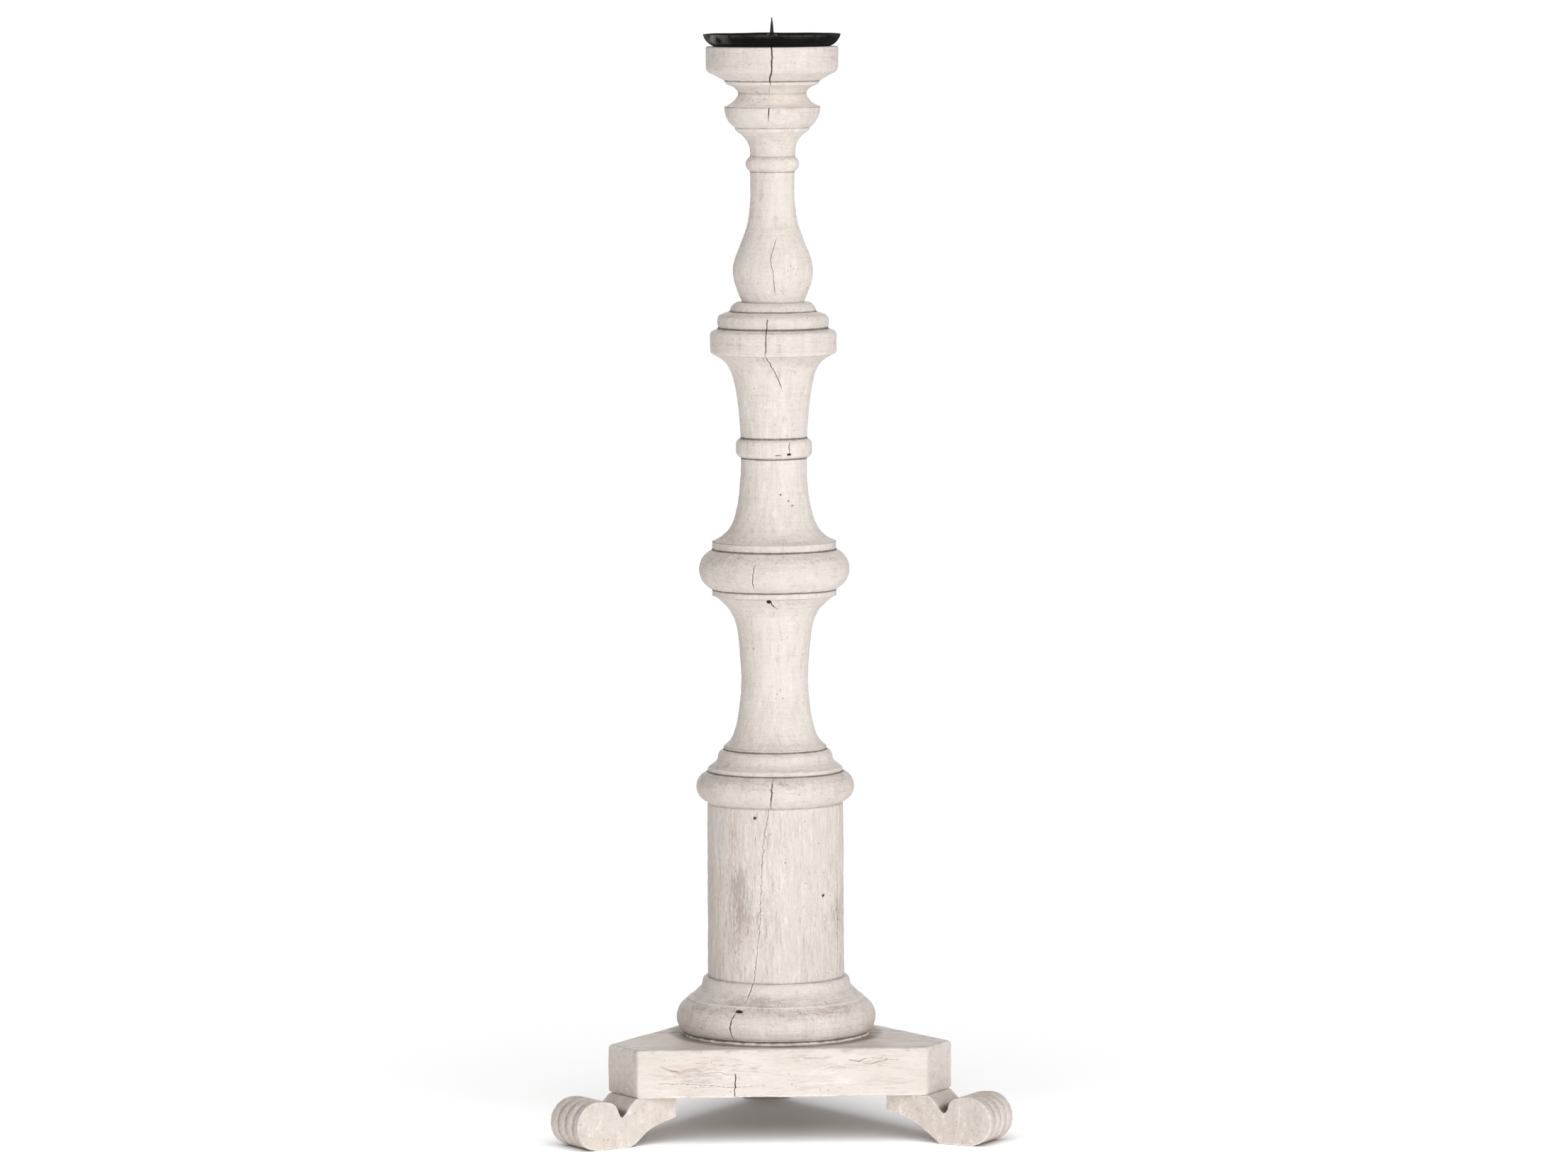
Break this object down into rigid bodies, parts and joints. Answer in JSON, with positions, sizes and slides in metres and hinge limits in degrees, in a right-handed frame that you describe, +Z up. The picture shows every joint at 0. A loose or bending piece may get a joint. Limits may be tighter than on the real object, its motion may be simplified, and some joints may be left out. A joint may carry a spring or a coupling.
{
  "type": "pricket candlestick",
  "caption": "Tall turned wooden candlestick with an iron drip pan and spike, on a three-sided base with scrolled feet.",
  "frame": {"origin": "on the column's axis at floor level", "axes": "+Z up along the column, one foot points to +Y, the plate's long front side faces -Y"},
  "size_m": [0.3812, 0.3302, 0.92],
  "materials": {
    "black_iron": "matt black, lightly scuffed",
    "spike_iron": "dark forged iron",
    "painted_wood": "cream paint rubbed back and aged, with cracks",
    "painted_plank": "cream paint rubbed back to brown, with cracks",
    "plated_steel": "dull zinc plate"
  },
  "bodies": {
    "root": {"drip_pan": "black_iron", "pricket_spike": "spike_iron", "candle_cup": "painted_wood", "neck_knop": "painted_wood", "vase_stem": "painted_wood", "stepped_collar": "painted_wood", "middle_stem": "painted_wood", "middle_knop": "painted_wood", "lower_stem": "painted_wood", "drum_cap": "painted_wood", "drum": "painted_wood", "base_moulding": "painted_wood", "base_plate": "painted_plank", "foot_left": "painted_plank", "foot_right": "painted_plank", "foot_rear": "painted_plank", "tie_rod": "plated_steel", "rod_washer": "plated_steel", "rod_nut": "plated_steel", "foot_screws": "plated_steel"}
  },
  "joints": []
}
